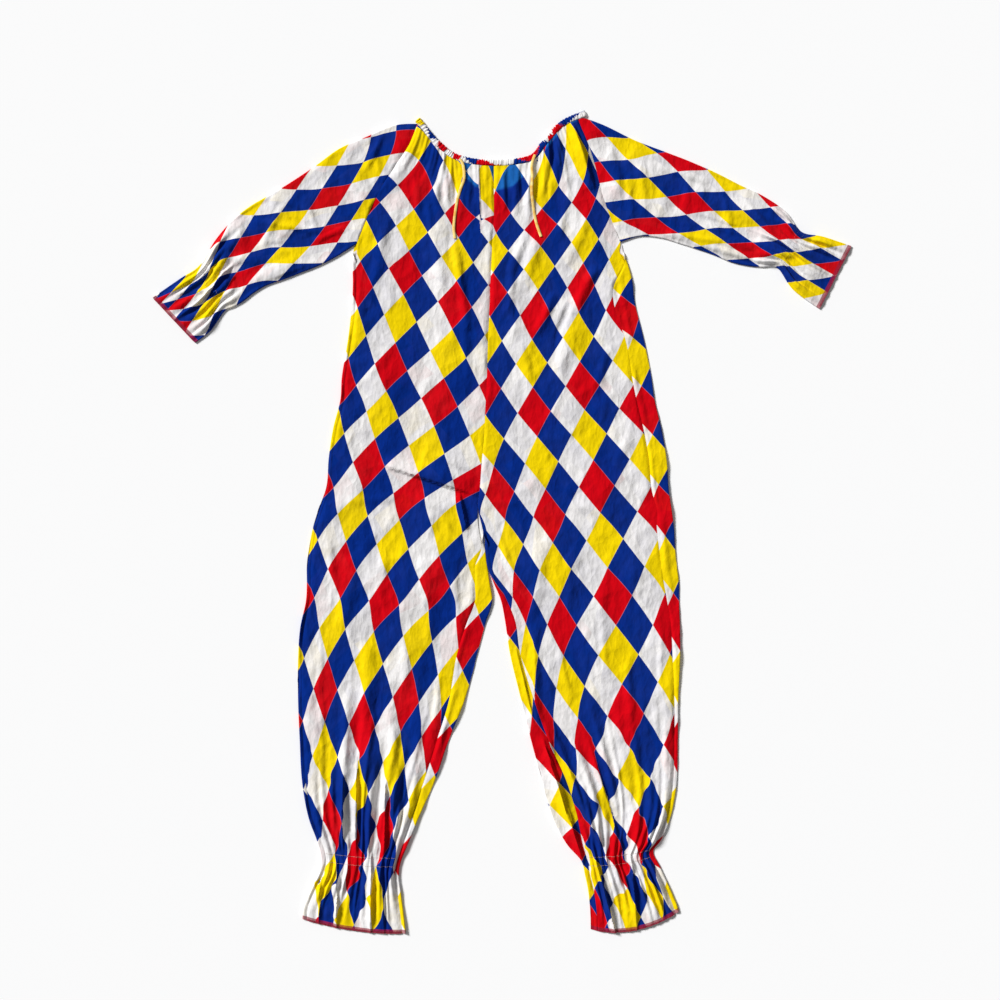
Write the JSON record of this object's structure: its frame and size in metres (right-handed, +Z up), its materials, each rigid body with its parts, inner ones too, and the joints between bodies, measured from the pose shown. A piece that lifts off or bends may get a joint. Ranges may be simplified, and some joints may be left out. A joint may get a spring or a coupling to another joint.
{
  "type": "clown jumpsuit",
  "caption": "Clown jumpsuit in harlequin-printed cotton, laid flat on its back, with a gathered drawstring neck, raglan sleeves and frills beyond elasticated cuffs and ankles.",
  "frame": {"origin": "centre of the suit's outline as it lies, on the surface that it rests on", "axes": "+X across the suit towards the sleeve on the right as it is seen from above, +Y along the body from the ankles towards the neck, +Z up, out of the surface that it lies on"},
  "size_m": [1.2737, 1.5011, 0.0158],
  "materials": {
    "printed_cotton": "matt printed plain-weave cotton",
    "casing_cotton": "matt printed plain-weave cotton",
    "yellow_cord": "matt narrow tie"
  },
  "bodies": {
    "root": {"front_left": "printed_cotton", "front_right": "printed_cotton", "back_left": "printed_cotton", "back_right": "printed_cotton", "sleeve_left": "printed_cotton", "sleeve_right": "printed_cotton", "neck_casing": "casing_cotton", "tie_left": "yellow_cord", "tie_right": "yellow_cord"}
  },
  "joints": []
}
